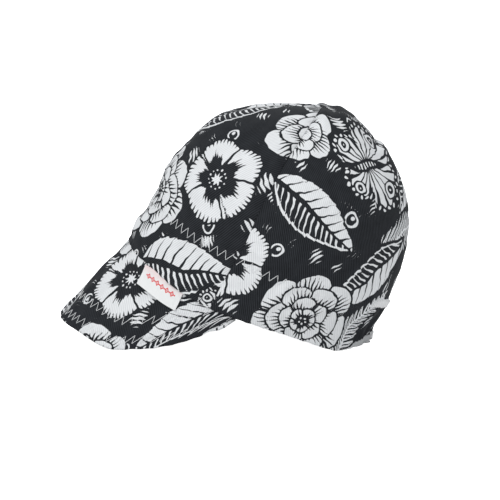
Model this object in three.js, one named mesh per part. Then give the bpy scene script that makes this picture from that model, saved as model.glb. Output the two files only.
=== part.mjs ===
// Welder's soft cap: a four-panel twill crown, a short soft bill, an inside band and a woven side tag.
// Millimetres, +Z up. The bill points towards -X, the wearer's left is -Y, and the cap stands by itself
// on the plane z = 0, on the back of its hem and the two low sides of its bill.

import * as THREE from 'three';

const { lerp, smoothstep, clamp, degToRad } = THREE.MathUtils;

// Driving sizes of the crown
const hemLength = 208;          // outside of the hem, front to back
const hemWidth = 170;           // outside of the hem, side to side
const crownHeight = 148;        // hem plane up to the point where the four panels meet
const panelWall = 1.4;          // twill panel
const panelFullness = 7;        // how far a panel swells past its seams
const seamGap = 0.3;            // between neighbouring pieces
const apexHole = 3;             // the panel tips stop this far from the crown's point
const hemDroop = 8;             // how far the hem hangs below its plane at the sides
const sideSeamAzimuth = 76;     // degrees from the front to each side seam
const droopFade = 3;            // how fast the hem's droop dies out up the crown
const heartRise = 0.4;          // panels swell away from a point this share of the way up the axis

// Driving sizes of the gathered back
const gatherDepth = 1.6;        // how far a pucker stands out
const gatherPitch = 15;         // from one pucker to the next
const gatherHeight = 34;        // how far up the puckers fade out
const gatherSpan = 52;          // degrees each way from the back seam
const cinchDepth = 3.5;         // how far the casing above the hem is drawn in
const cinchRise = 13;           // height of the tightest line over the hem

// Driving sizes of the bill, the inside band and the tag
const billLength = 74;          // hem to front edge, on the centre line
const billWall = 2.6;           // two plies and their interlining
const billSpan = 87;            // degrees from the centre line to each end of the bill
const billTuck = 6;             // the bill's root behind the hem
const bandHeight = 46;          // inside band, up from the hem
const bandWall = 1;
const bandFoot = 2.5;           // the band's lower edge over the hem
const bandGap = 0.5;            // between the band and what it lines
const tagWidth = 38;
const tagDrop = 16;
const tagWall = 0.8;
const tagAzimuth = 51;          // degrees from the front to the middle of the tag
const restSink = 1.3;           // how much of the lowest cloth the cap's own weight presses flat

const printBlack = 0x24272c;
const printWhite = 0xdadfe2;
const liningBlack = 0x1d1f22;
const tagWhite = 0xeeeae6;

// Sections of the crown between its seams, from the hem up to the crown's point.
// rise is a share of the crown height, shift and length of half the hem length, width of half the
// hem width, front and back are shares of the panel fullness.
const crownSections = [
  { rise: 0.00, shift: 0.000, length: 1.000, width: 1.00, front: 0.00, back: 0.00 },
  { rise: 0.15, shift: 0.021, length: 0.976, width: 1.03, front: 0.25, back: 0.25 },
  { rise: 0.31, shift: 0.057, length: 0.945, width: 1.05, front: 0.45, back: 0.45 },
  { rise: 0.46, shift: 0.064, length: 0.926, width: 1.05, front: 0.60, back: 0.60 },
  { rise: 0.58, shift: 0.071, length: 0.882, width: 1.02, front: 0.70, back: 0.70 },
  { rise: 0.69, shift: 0.081, length: 0.820, width: 0.96, front: 0.80, back: 0.80 },
  { rise: 0.79, shift: 0.087, length: 0.725, width: 0.87, front: 0.85, back: 0.80 },
  { rise: 0.87, shift: 0.090, length: 0.610, width: 0.76, front: 0.85, back: 0.90 },
  { rise: 0.95, shift: 0.090, length: 0.462, width: 0.62, front: 0.60, back: 1.15 },
  { rise: 1.00, shift: 0.074, length: 0.260, width: 0.38, front: 0.30, back: 1.35 },
  { rise: 1.00, shift: 0.041, length: 0.000, width: 0.00, front: 0.00, back: 0.00 },
];

// The hem's own line round the head: droop is a share of the hem droop, evenly spaced from the
// front centre to the back centre.
const hemLine = [
  { droop: 0.00 },
  { droop: 0.00 },
  { droop: 0.12 },
  { droop: 0.80 },
  { droop: 1.00 },
  { droop: 0.90 },
  { droop: 0.98 },
  { droop: 1.00 },
  { droop: 0.40 },
  { droop: 0.00 },
];

// Soft dents and swells of the cloth: azimuth in degrees from the front, rise as a share of the crown
// height, across and up as shares of the hem width, depth as a share of the panel fullness
// (a swell is negative), side -1 for the wearer's left, 1 for the right and 0 for both.
const crownFolds = [
  { side: 0, azimuth: 0, rise: 0.08, across: 0.30, up: 0.050, depth: 0.36 },
  { side: 0, azimuth: 172, rise: 0.88, across: 0.08, up: 0.040, depth: 0.40 },
  { side: -1, azimuth: 140, rise: 0.30, across: 0.03, up: 0.16, depth: 0.20 },
  { side: 1, azimuth: 132, rise: 0.34, across: 0.035, up: 0.18, depth: 0.22 },
  { side: -1, azimuth: 96, rise: 0.14, across: 0.08, up: 0.07, depth: -0.20 },
  { side: 1, azimuth: 60, rise: 0.25, across: 0.05, up: 0.16, depth: 0.16 },
  { side: -1, azimuth: 34, rise: 0.36, across: 0.05, up: 0.10, depth: 0.14 },
];

// Rulings of the bill, evenly spaced from its centre line to its end: steep is the angle in degrees
// below the hem plane, length a share of the bill length.
const billRulings = [
  { steep: 65, length: 0.955 },
  { steep: 66, length: 0.955 },
  { steep: 72, length: 0.930 },
  { steep: 79, length: 0.920 },
  { steep: 86, length: 0.830 },
  { steep: 91, length: 0.620 },
  { steep: 94, length: 0.350 },
  { steep: 95, length: 0.060 },
];

// Value of one column at share s of the way down a table, on a smooth curve through its rows.
// A table that ends in a pole goes on beyond it as a mirror image, so that it arrives flat.
function column(rows, key, s, pole = 0) {
  const last = rows.length - 1;
  const at = clamp(s, 0, 1) * last;
  const i = Math.min(Math.floor(at), last - 1);
  const f = at - i;
  const value = (j) => {
    if (j < 0) {
      return 2 * rows[0][key] - rows[1][key];
    }
    if (j > last) {
      return pole ? pole * rows[last - 1][key] : 2 * rows[last][key] - rows[last - 1][key];
    }
    return rows[j][key];
  };
  const [a, b, c, d] = [value(i - 1), value(i), value(i + 1), value(i + 2)];
  return b + 0.5 * f * (c - a + f * (2 * a - 5 * b + 4 * c - d + f * (3 * (b - c) + d - a)));
}

// How full a panel is between its centre seam, at 0, and its side seam, at 1
function panelSwell(t) {
  const centreSlope = 0.13;
  const sideSlope = 0.16;
  return (1 - Math.exp(-t / centreSlope)) * (1 - Math.exp(-(1 - t) / sideSlope));
}

// Puckers of the gathered back, standing out only, and dying out towards the sides
function gather(azimuth, rise) {
  const fromBack = 180 - Math.abs(azimuth);
  const arc = degToRad(fromBack) * hemWidth / 2;
  const fullSpan = 0.6 * gatherSpan;
  const window = 1 - smoothstep(fromBack, fullSpan, gatherSpan);
  const fade = Math.exp(-((rise / gatherHeight) ** 2));
  return gatherDepth * window * fade * 0.5 * (1 - Math.cos(2 * Math.PI * arc / gatherPitch));
}

// How far the cloth is drawn in over the hem at the back; the hem itself keeps its size
function cinch(azimuth, rise) {
  const hemEdge = 4;
  const drawn = Math.exp(-(((rise - cinchRise) / cinchRise) ** 2)) * (1 - Math.exp(-rise / hemEdge));
  return cinchDepth * drawn * smoothstep(Math.abs(azimuth), 180 - gatherSpan, 180 - gatherSpan / 2);
}

// What the folds near a place take off the cloth
function foldDepth(azimuth, rise) {
  const side = azimuth < 0 ? -1 : 1;
  return crownFolds.filter((fold) => fold.side !== -side).reduce((depth, fold) => {
    const away = degToRad(Math.abs(azimuth) - fold.azimuth) / 2 / fold.across;
    const over = (rise - fold.rise * crownHeight) / (fold.up * hemWidth);
    return depth + fold.depth * panelFullness * Math.exp(-(away ** 2) - over ** 2);
  }, 0);
}

// Outside of the crown in the hem's own frame, before the cap is leaned back: azimuth in degrees from
// the front, positive on the wearer's right, and s from the hem, at 0, to the crown's point, at 1
function crownLocal(azimuth, s, puckers = 1) {
  const turn = Math.abs(azimuth);
  const side = azimuth < 0 ? -1 : 1;
  const front = turn < sideSeamAzimuth;
  const t = front ? turn / sideSeamAzimuth : (180 - turn) / (180 - sideSeamAzimuth);
  const rise = column(crownSections, 'rise', s, 1) * crownHeight;
  const droop = column(hemLine, 'droop', turn / 180) * hemDroop;
  const angle = degToRad(turn);
  const shift = column(crownSections, 'shift', s, 1);
  const length = column(crownSections, 'length', s, -1);
  const point = new THREE.Vector3(
    (shift - length * Math.cos(angle)) * hemLength / 2,
    side * column(crownSections, 'width', s, -1) * Math.sin(angle) * hemWidth / 2,
    rise - droop * (1 - rise / crownHeight) ** droopFade,
  );
  const heart = new THREE.Vector3(shift * hemLength / 2, 0, Math.min(heartRise * crownHeight, point.z));
  const outward = point.clone().sub(heart).normalize();
  const full = column(crownSections, front ? 'front' : 'back', s, 1) * panelSwell(t) * panelFullness;
  const swell = full - foldDepth(azimuth, rise) - cinch(azimuth, rise) + puckers * gather(azimuth, rise);
  return point.addScaledVector(outward, swell);
}

// Outward direction of a surface over the crown's two parameters, by small steps inside from..to
function outwardOf(surface, azimuth, s, from = -180, to = 180) {
  const turn = 0.5;
  const climb = 0.01;
  const across = surface(Math.min(azimuth + turn, to), s).sub(surface(Math.max(azimuth - turn, from), s));
  const up = surface(azimuth, Math.min(s + climb, 1 - climb / 2)).sub(surface(azimuth, Math.max(s - climb, 0)));
  return up.cross(across).normalize();
}

// The crown without its puckers, a given depth inside its outer face
function underCrown(azimuth, s, depth) {
  const smooth = (a, v) => crownLocal(a, v, 0);
  return smooth(azimuth, s).addScaledVector(outwardOf(smooth, azimuth, s), -depth);
}

// The share of the way up at which the crown has a given height over the hem plane
function shareAt(rise) {
  const halvings = 24;
  let [low, high] = [0, 1];
  for (let step = 0; step < halvings; step += 1) {
    const middle = (low + high) / 2;
    const over = column(crownSections, 'rise', middle, 1) * crownHeight > rise;
    [low, high] = over ? [low, middle] : [middle, high];
  }
  return low;
}

// Outside of the bill in the hem's frame: around is degrees from the centre line, and r is the way down
// from the hem, below 0 for the root that is tucked behind it
function billLocal(around, r) {
  const root = underCrown(around, shareAt(Math.max(-r, 0)), panelWall + seamGap);
  if (r <= 0) {
    return root;
  }
  const steep = degToRad(column(billRulings, 'steep', Math.abs(around) / billSpan));
  const angle = degToRad(around);
  const ruling = new THREE.Vector3(-Math.cos(angle) / hemLength, Math.sin(angle) / hemWidth, 0);
  ruling.normalize().multiplyScalar(Math.cos(steep));
  ruling.z = -Math.sin(steep);
  return root.addScaledVector(ruling, r);
}

function billReach(around) {
  return column(billRulings, 'length', Math.abs(around) / billSpan) * billLength;
}

function billOutward(around, r) {
  const turn = 0.5;
  const fall = 0.5;
  const across = billLocal(around + turn, r).sub(billLocal(around - turn, r));
  const up = billLocal(around, r - fall).sub(billLocal(around, r + fall));
  return up.cross(across).normalize();
}

// The cap leans back until the edge of its bill and the back of its hem stand on one floor
const heel = crownLocal(180, 0, 0);
const triedRulings = 60;
const lean = Math.max(...steps(0, billSpan, triedRulings).map((around) => {
  const edge = billLocal(around, billReach(around));
  return Math.atan2(heel.z - edge.z, heel.x - edge.x);
}));

function heightOverFloor(point) {
  const heelHeight = heel.z * Math.cos(lean) - heel.x * Math.sin(lean);
  return point.z * Math.cos(lean) - point.x * Math.sin(lean) - heelHeight - restSink;
}

// From the hem's frame to the standing cap, with what lies below the floor pressed flat on it
function stand(point) {
  const x = point.x * Math.cos(lean) + point.z * Math.sin(lean);
  return new THREE.Vector3(x, point.y, Math.max(heightOverFloor(point), 0));
}

function steps(from, to, count) {
  return Array.from({ length: count + 1 }, (_, k) => lerp(from, to, k / count));
}

// A closed wall between an outer and an inner grid of points. The points of a grid are given by a
// function of its column and row values; a ring joins its last column to its first.
function wall(rowValues, columnValues, outerAt, innerAt, ring = false) {
  const points = [outerAt, innerAt].flatMap((pointAt) => (
    rowValues.flatMap((row) => columnValues.map((value) => pointAt(value, row)))
  ));
  const rows = rowValues.length;
  const columns = columnValues.length;
  const across = ring ? columns : columns - 1;
  const outer = (i, j) => i * columns + (j % columns);
  const inner = (i, j) => rows * columns + outer(i, j);
  const index = [];
  const quad = (a, b, c, d) => index.push(a, b, c, a, c, d);
  for (let j = 0; j < across; j += 1) {
    for (let i = 0; i < rows - 1; i += 1) {
      quad(outer(i, j), outer(i, j + 1), outer(i + 1, j + 1), outer(i + 1, j));
      quad(inner(i, j), inner(i + 1, j), inner(i + 1, j + 1), inner(i, j + 1));
    }
    const top = rows - 1;
    quad(outer(0, j + 1), outer(0, j), inner(0, j), inner(0, j + 1));
    quad(outer(top, j), outer(top, j + 1), inner(top, j + 1), inner(top, j));
  }
  for (let i = 0; i < rows - 1 && !ring; i += 1) {
    quad(outer(i, 0), outer(i + 1, 0), inner(i + 1, 0), inner(i, 0));
    quad(outer(i + 1, across), outer(i, across), inner(i, across), inner(i + 1, across));
  }
  if (enclosedVolume(points, index) < 0) {
    index.reverse();
  }
  const geometry = new THREE.BufferGeometry().setFromPoints(points);
  geometry.setIndex(index);
  geometry.computeVertexNormals();
  return geometry;
}

function enclosedVolume(points, index) {
  let volume = 0;
  for (let k = 0; k < index.length; k += 3) {
    const [a, b, c] = index.slice(k, k + 3).map((at) => points[at]);
    volume += a.dot(new THREE.Vector3().crossVectors(b, c)) / 6;
  }
  return volume;
}

// One crown panel from its centre seam to its side seam, short of both seams by half the gap
function crownPanel(centreSeam, sideSeam, columns) {
  const rows = 16;
  const tipArc = crownSections.at(-2).width * hemWidth / 2;
  const tip = 1 - apexHole / tipArc / (crownSections.length - 1);
  const nearly = 1e-6;
  const low = Math.min(centreSeam, sideSeam) + nearly;
  const high = Math.max(centreSeam, sideSeam) - nearly;
  const face = (azimuth, s) => crownLocal(clamp(azimuth, low, high), s);
  const azimuthAt = (share, s) => {
    const seamToSeam = face(centreSeam, s).distanceTo(face(sideSeam, s));
    const inset = seamGap / 2 / seamToSeam;
    return lerp(centreSeam, sideSeam, lerp(inset, 1 - inset, share));
  };
  const outside = (share, s) => stand(face(azimuthAt(share, s), s));
  const inside = (share, s) => {
    const azimuth = azimuthAt(share, s);
    const outward = outwardOf(face, azimuth, s, low, high);
    return stand(face(azimuth, s).addScaledVector(outward, -panelWall));
  };
  return wall(steps(0, tip, rows), steps(0, 1, columns), outside, inside);
}

// The bill from its tucked root, at row -1, past the hem, at 0, to its edge, at 1. A ruling that would
// go through the floor is cut there.
function bill() {
  const columns = 44;
  const lengths = 7;
  const rows = [-1, ...steps(0, 1, lengths)];
  const cut = (around) => {
    const reach = billReach(around);
    const root = heightOverFloor(billLocal(around, 0));
    const edge = heightOverFloor(billLocal(around, reach));
    return edge < 0 ? reach * root / (root - edge) : reach;
  };
  const face = (depth) => (around, row) => {
    const r = row < 0 ? row * billTuck : row * cut(around);
    const point = stand(billLocal(around, r).addScaledVector(billOutward(around, r), -depth));
    if (row === 1 && cut(around) < billReach(around)) {
      point.z = 0;
    }
    return point;
  };
  return wall(rows, steps(-billSpan, billSpan, columns), face(0), face(billWall));
}

// The band inside the hem; at its foot it passes behind the tucked root of the bill
function sweatband() {
  const columns = 72;
  const azimuths = steps(-180, 180, columns).slice(0, -1);
  const clearTurn = 2;
  const settleTurn = 12;
  const rootTop = billTuck + 1;
  const settled = 2 * rootTop;
  const lined = (depth) => (azimuth, rise) => {
    const overBill = 1 - smoothstep(Math.abs(azimuth), billSpan + clearTurn, billSpan + settleTurn);
    const belowRoot = 1 - smoothstep(rise, rootTop, settled);
    const behind = (billWall + seamGap) * overBill * belowRoot;
    return stand(underCrown(azimuth, shareAt(rise), panelWall + bandGap + behind + depth));
  };
  const heights = [bandFoot, rootTop, settled, (settled + bandHeight) / 2, bandHeight];
  return wall(heights, azimuths, lined(0), lined(bandWall), true);
}

// The woven tag that hangs from the hem seam over the bill, on the wearer's left
function sideTag() {
  const tagRows = 3;
  const tagColumns = 6;
  const face = (height) => (share, r) => {
    const degree = billLocal(-tagAzimuth, r).distanceTo(billLocal(1 - tagAzimuth, r));
    const around = share * tagWidth / degree - tagAzimuth;
    return stand(billLocal(around, r).addScaledVector(billOutward(around, r), height));
  };
  const rows = steps(seamGap, seamGap + tagDrop, tagRows);
  return wall(rows, steps(-0.5, 0.5, tagColumns), face(seamGap + tagWall), face(seamGap));
}

function piece(name, geometry, colour, roughness = 0.9) {
  const material = new THREE.MeshStandardMaterial({ color: colour, roughness, metalness: 0 });
  const mesh = new THREE.Mesh(geometry, material);
  mesh.name = name;
  return mesh;
}

const cap = new THREE.Group();
const frontColumns = 16;
const backColumns = 30;         // close enough together to draw each pucker
const satinRoughness = 0.7;
for (const [side, sign] of [['left', -1], ['right', 1]]) {
  const sideSeam = sign * sideSeamAzimuth;
  cap.add(piece(`crown_front_${side}`, crownPanel(0, sideSeam, frontColumns), printBlack));
  cap.add(piece(`crown_back_${side}`, crownPanel(sign * 180, sideSeam, backColumns), printBlack));
}
cap.add(piece('bill', bill(), printWhite));
cap.add(piece('sweatband', sweatband(), liningBlack));
cap.add(piece('side_tag', sideTag(), tagWhite, satinRoughness));

// The origin is on the floor under the middle of the cap's length
const extent = new THREE.Box3().setFromObject(cap);
cap.position.x = -(extent.min.x + extent.max.x) / 2;

export default cap;
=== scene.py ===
"""A welder's soft cap: four printed twill panels, a stitched bill, an inside band and a woven tag."""

import bpy
import numpy as np
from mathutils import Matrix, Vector


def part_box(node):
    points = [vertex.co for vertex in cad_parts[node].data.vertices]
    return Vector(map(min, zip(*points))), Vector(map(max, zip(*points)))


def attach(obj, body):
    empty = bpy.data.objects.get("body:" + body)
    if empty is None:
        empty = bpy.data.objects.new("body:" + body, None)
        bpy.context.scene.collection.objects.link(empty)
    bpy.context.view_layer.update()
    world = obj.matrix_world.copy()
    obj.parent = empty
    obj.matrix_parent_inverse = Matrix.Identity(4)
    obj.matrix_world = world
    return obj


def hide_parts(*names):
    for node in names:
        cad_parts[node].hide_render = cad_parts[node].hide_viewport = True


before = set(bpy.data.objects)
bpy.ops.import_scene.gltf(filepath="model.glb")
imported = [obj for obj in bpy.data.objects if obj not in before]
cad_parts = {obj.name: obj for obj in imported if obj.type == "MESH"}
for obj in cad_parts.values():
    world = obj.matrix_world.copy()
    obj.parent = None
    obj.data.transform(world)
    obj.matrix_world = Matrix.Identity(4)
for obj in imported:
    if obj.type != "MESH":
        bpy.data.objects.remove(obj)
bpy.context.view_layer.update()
CIRCLE = 2 * np.pi


def table(names, *rows):
    """A list of rows, each a dict of the named columns."""
    return [dict(zip(names.split(), row)) for row in rows]


# Sizes that the solids have too, in millimetres and degrees
HEM_LENGTH = 208
HEM_WIDTH = 170
CROWN_HEIGHT = 148
PANEL_WALL = 1.4
PANEL_FULLNESS = 7
SEAM_GAP = 0.3
HEM_DROOP = 8
SIDE_SEAM = 76
DROOP_FADE = 3
HEART_RISE = 0.4
GATHER_DEPTH = 1.6
GATHER_PITCH = 15
GATHER_HEIGHT = 34
GATHER_SPAN = 52
CINCH_DEPTH = 3.5
CINCH_RISE = 13
BILL_LENGTH = 74
BILL_WALL = 2.6
BILL_SPAN = 87
BAND_HEIGHT = 46
BAND_WALL = 1
BAND_FOOT = 2.5
BAND_GAP = 0.5
TAG_WIDTH = 38
TAG_DROP = 16
TAG_WALL = 0.8
TAG_AZIMUTH = 51
REST_SINK = 1.3

# Level sections of the crown from hem to point, as shares of those sizes; its folds, on the left (-1),
# the right (1) or both sides (0); and the slope in degrees and the reach of the bill, middle to end
CROWN_SECTIONS = table(
    "rise shift length width front back",
    (0.00, 0.000, 1.000, 1.00, 0.00, 0.00),
    (0.15, 0.021, 0.976, 1.03, 0.25, 0.25),
    (0.31, 0.057, 0.945, 1.05, 0.45, 0.45),
    (0.46, 0.064, 0.926, 1.05, 0.60, 0.60),
    (0.58, 0.071, 0.882, 1.02, 0.70, 0.70),
    (0.69, 0.081, 0.820, 0.96, 0.80, 0.80),
    (0.79, 0.087, 0.725, 0.87, 0.85, 0.80),
    (0.87, 0.090, 0.610, 0.76, 0.85, 0.90),
    (0.95, 0.090, 0.462, 0.62, 0.60, 1.15),
    (1.00, 0.074, 0.260, 0.38, 0.30, 1.35),
    (1.00, 0.041, 0.000, 0.00, 0.00, 0.00),
)
# Share of the droop, evenly spaced from the front seam to the back seam
HEM_LINE = [{"droop": share} for share in (0, 0, 0.12, 0.80, 1.00, 0.90, 0.98, 1.00, 0.40, 0)]
CROWN_FOLDS = table(
    "side azimuth rise across up depth",
    (0, 0, 0.08, 0.30, 0.050, 0.36),
    (0, 172, 0.88, 0.08, 0.040, 0.40),
    (-1, 140, 0.30, 0.03, 0.16, 0.20),
    (1, 132, 0.34, 0.035, 0.18, 0.22),
    (-1, 96, 0.14, 0.08, 0.07, -0.20),
    (1, 60, 0.25, 0.05, 0.16, 0.16),
    (-1, 34, 0.36, 0.05, 0.10, 0.14),
)
BILL_RULINGS = table(
    "steep length",
    (65, 0.955),
    (66, 0.955),
    (72, 0.930),
    (79, 0.920),
    (86, 0.830),
    (91, 0.620),
    (94, 0.350),
    (95, 0.060),
)

# How much shorter the front panels are cut, from the front seam to the side seam
HEM_TRIM = [{"cut": cut} for cut in (8.0, 6.8, 4.6, 3.2, 1.8, 0)]
# Where the worn cap sags out of its sewn shape, seen from the side: a place on the standing cap,
# how far round it the cloth moves, and how far it stands out there
SLOUCH = table(
    "x z reach out",
    (26, 184, 20, -2.2),
    (66, 174, 14, 4.3),
    (66, 171, 6, 2.8),
    (76, 177, 6, -1.8),
    (84, 175, 10, 2.0),
    (103, 165, 8, -1.4),
    (110, 155, 5, -2.6),
    (118, 149, 4, 0.7),
    (127, 135, 13, 3.0),
    (115, 18, 9, 1.6),
    (-69, 98, 8, -2.4),
    (-80, 76, 6, -1.6),
)

# Sizes of the cloth and its sewing
GRID = 0.72  # spacing of a printed face's vertices
INSIDE_STEP = 3  # the inside of a panel has one vertex for this many
SEAM_ROLL = 0.5  # radius of a panel's edge at a seam
SEAM_INSET = 0.3  # how far that edge stays from the seam's middle
HEM_ROLL = 0.7
ROLL_STEPS = 5
BOTH = (ROLL_STEPS, ROLL_STEPS)  # rows or columns that rolled edges add at both ends
SEAM_DIP = 0.9  # how far the cloth is drawn down at a seam
SEAM_DIP_SPAN = 2.6
ALLOWANCE = 8  # seam allowance pressed open inside, and how thick it lies
ALLOWANCE_WALL = 0.8
BILL_ROOT = 14  # how far the bill's cloth runs up behind the front hem
BILL_TRIM = 4.5  # how much its edge is cut back at its lowest places
BILL_TRIM_SPAN = (40, 51, 54, 76)  # degrees from its middle: cut from, fully, down to, up to
BILL_DROOP = 3.0  # how far the middle of its front edge hangs down
BILL_DROOP_SPAN = (14, 44)  # degrees from its middle: whole up to the first, gone at the second
BILL_WAVE = 0.5  # slow unevenness of its cloth
BILL_PUCKER = 0.25  # small puckers along its edge
TAG_RAISE = 3.2  # how far the tag's top edge goes up under the hem
TAG_TILT = 2.6  # how much further its rear end goes up than its front end
TAG_FLARE = 1.3  # how far its lower edge stands off the bill
TAG_MOTIF_PITCH = 4.7
BAND_GATHERS = 8.5  # pitch of the band's small gathers at the back
THREAD = 0.2  # radius of the sewing thread
TOOTH_PITCH = 6.9  # zigzag stitch, tooth to tooth
TOOTH_HEIGHT = 6.8
ROW_FURROW = 0.3  # how deep a stitched row draws the bill's cloth in
# The crown's stitched row: its height over the hem at each panel's front and rear ends
CROWN_ROW = {"front": (34.5, 41.5), "back": (41.5, 34.5)}
ROW_FROM_BACK = 96  # it stops this far from the back seam
SEAM_CLEAR = 1.5  # and this far from the others
# The bill's stitched rows: how far inside its edge they run, and how far from its ends they stop
BILL_STITCHES = table(
    "name from_edge from_end",
    ("outer", 8, 16),
    ("inner", 24, 44),
)

# Unevenness of the crown's cloth: how high it stands, how long its waves are, which waves they are,
# and how far from a seam it starts and is whole
CLOTH_WAVES = table(
    "height length seed start whole",
    (0.7, 42, 32, 2, 14),
    (0.2, 13, 33, 1, 6),
)
SEAM_PUCKER = 0.4  # small puckers along its seams and its hem
SEAM_PUCKER_LENGTH = 9
HEM_PUCKER = 0.3
HEM_PUCKER_LENGTH = 8
PUCKER_REACH = 5
TIP_SHARE = 0.9995  # the panels stop just short of the crown's point
HAIR = 0.001  # degrees that keep a panel's edges on its own side of the seams


def smoothstep(value, low, high):
    share = np.clip((value - low) / (high - low), 0, 1)
    return share * share * (3 - 2 * share)


def column(rows, key, share, pole=0):
    """One column of a table at a share of the way down it, on a smooth curve through its rows."""
    values = [row[key] for row in rows]
    last = len(values) - 1
    before = 2 * values[0] - values[1]
    after = pole * values[last - 1] if pole else 2 * values[last] - values[last - 1]
    padded = np.array([before, *values, after], float)
    at = np.clip(share, 0, 1) * last
    i = np.minimum(np.floor(at).astype(int), last - 1)
    f = at - i
    a, b, c, d = padded[i], padded[i + 1], padded[i + 2], padded[i + 3]
    return b + 0.5 * f * (c - a + f * (2 * a - 5 * b + 4 * c - d + f * (3 * (b - c) + d - a)))


def direction(degrees):
    return float(np.cos(np.radians(degrees))), float(np.sin(np.radians(degrees)))


def unit(vectors):
    return vectors / np.maximum(np.linalg.norm(vectors, axis=-1, keepdims=True), 1e-9)


def panel_swell(t):
    return (1 - np.exp(-t / 0.13)) * (1 - np.exp(-(1 - t) / 0.16))


def gather(azimuth, rise):
    from_back = 180 - np.abs(azimuth)
    arc = np.radians(from_back) * HEM_WIDTH / 2
    window = 1 - smoothstep(from_back, 0.6 * GATHER_SPAN, GATHER_SPAN)
    fade = np.exp(-((rise / GATHER_HEIGHT) ** 2))
    return GATHER_DEPTH * window * fade * 0.5 * (1 - np.cos(CIRCLE * arc / GATHER_PITCH))


def cinch(azimuth, rise):
    drawn = np.exp(-(((rise - CINCH_RISE) / CINCH_RISE) ** 2)) * (1 - np.exp(-rise / 4))
    return CINCH_DEPTH * drawn * smoothstep(np.abs(azimuth), 180 - GATHER_SPAN, 180 - GATHER_SPAN / 2)


def fold_depth(azimuth, rise):
    side = np.where(azimuth < 0, -1, 1)
    depth = 0
    for fold in CROWN_FOLDS:
        away = np.radians(np.abs(azimuth) - fold["azimuth"]) / 2 / fold["across"]
        over = (rise - fold["rise"] * CROWN_HEIGHT) / (fold["up"] * HEM_WIDTH)
        felt = fold["depth"] * PANEL_FULLNESS * np.exp(-(away**2) - over**2)
        depth = depth + np.where(side == -fold["side"], 0, felt) if fold["side"] else depth + felt
    return depth


def crown_local(azimuth, s, puckers=1):
    """Outside of the crown in the hem's own frame, as the solids have it."""
    azimuth, s = np.broadcast_arrays(np.asarray(azimuth, float), np.asarray(s, float))
    turn = np.abs(azimuth)
    side = np.where(azimuth < 0, -1.0, 1.0)
    front = turn < SIDE_SEAM
    t = np.where(front, turn / SIDE_SEAM, (180 - turn) / (180 - SIDE_SEAM))
    rise = column(CROWN_SECTIONS, "rise", s, 1) * CROWN_HEIGHT
    droop = column(HEM_LINE, "droop", turn / 180) * HEM_DROOP
    angle = np.radians(turn)
    shift = column(CROWN_SECTIONS, "shift", s, 1)
    length = column(CROWN_SECTIONS, "length", s, -1)
    width = column(CROWN_SECTIONS, "width", s, -1)
    x = (shift - length * np.cos(angle)) * HEM_LENGTH / 2
    y = side * width * np.sin(angle) * HEM_WIDTH / 2
    z = rise - droop * np.clip(1 - rise / CROWN_HEIGHT, 0, None) ** DROOP_FADE
    point = np.stack([x, y, z], -1)
    heart = np.stack([shift * HEM_LENGTH / 2, 0 * x, np.minimum(HEART_RISE * CROWN_HEIGHT, z)], -1)
    swells = column(CROWN_SECTIONS, "front", s, 1), column(CROWN_SECTIONS, "back", s, 1)
    full = np.where(front, *swells) * panel_swell(t) * PANEL_FULLNESS
    swell = full - fold_depth(azimuth, rise) - cinch(azimuth, rise) + puckers * gather(azimuth, rise)
    return point + unit(point - heart) * swell[..., None]


def under_crown(azimuth, s, depth):
    """The crown without its puckers, a given depth inside its outer face."""
    turn = 0.5
    climb = 0.01
    across = crown_local(azimuth + turn, s, 0) - crown_local(azimuth - turn, s, 0)
    up = crown_local(azimuth, s + climb, 0) - crown_local(azimuth, np.maximum(s - climb, 0), 0)
    outward = unit(np.cross(up, across))
    return crown_local(azimuth, s, 0) - outward * np.asarray(depth)[..., None]


def share_at(rise):
    """The share of the way up at which the crown has a given height over the hem plane."""
    shares = np.linspace(0, 0.85, 800)
    return np.interp(rise, column(CROWN_SECTIONS, "rise", shares, 1) * CROWN_HEIGHT, shares)


def bill_local(around, r):
    around, r = np.broadcast_arrays(np.asarray(around, float), np.asarray(r, float))
    root = under_crown(around, share_at(np.maximum(-r, 0)), PANEL_WALL + SEAM_GAP)
    steep = np.radians(column(BILL_RULINGS, "steep", np.abs(around) / BILL_SPAN))
    angle = np.radians(around)
    flat = unit(np.stack([-np.cos(angle) / HEM_LENGTH, np.sin(angle) / HEM_WIDTH, 0 * angle], -1))
    ruling = flat * np.cos(steep)[..., None]
    ruling[..., 2] = -np.sin(steep)
    return root + ruling * np.maximum(r, 0)[..., None]


def bill_reach(around):
    return column(BILL_RULINGS, "length", np.abs(around) / BILL_SPAN) * BILL_LENGTH


def bill_outward(around, r):
    turn = 0.5
    fall = 0.5
    across = bill_local(around + turn, r) - bill_local(around - turn, r)
    up = bill_local(around, r - fall) - bill_local(around, r + fall)
    return unit(np.cross(up, across))


# The cap leans back until the edge of its bill and the back of its hem stand on one floor
heel = crown_local(180, 0, 0)
tried = np.linspace(0, BILL_SPAN, 61)
tried_edge = bill_local(tried, bill_reach(tried))
lean = np.max(np.arctan2(heel[2] - tried_edge[:, 2], heel[0] - tried_edge[:, 0]))


def height_over_floor(point):
    heel_height = heel[2] * np.cos(lean) - heel[0] * np.sin(lean)
    return point[..., 2] * np.cos(lean) - point[..., 0] * np.sin(lean) - heel_height - REST_SINK


def tilted(point):
    x = point[..., 0] * np.cos(lean) + point[..., 2] * np.sin(lean)
    return np.stack([x, point[..., 1], height_over_floor(point)], -1)


front_edge = tilted(tried_edge)[:, 0].min()
move_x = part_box("bill")[0].x * 1000 - front_edge


def stand(point):
    """From the hem's frame to the standing cap, with what lies below the floor pressed flat on it."""
    placed = tilted(point) + np.array([move_x, 0, 0])
    placed[..., 2] = np.maximum(placed[..., 2], 0)
    return placed


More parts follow.
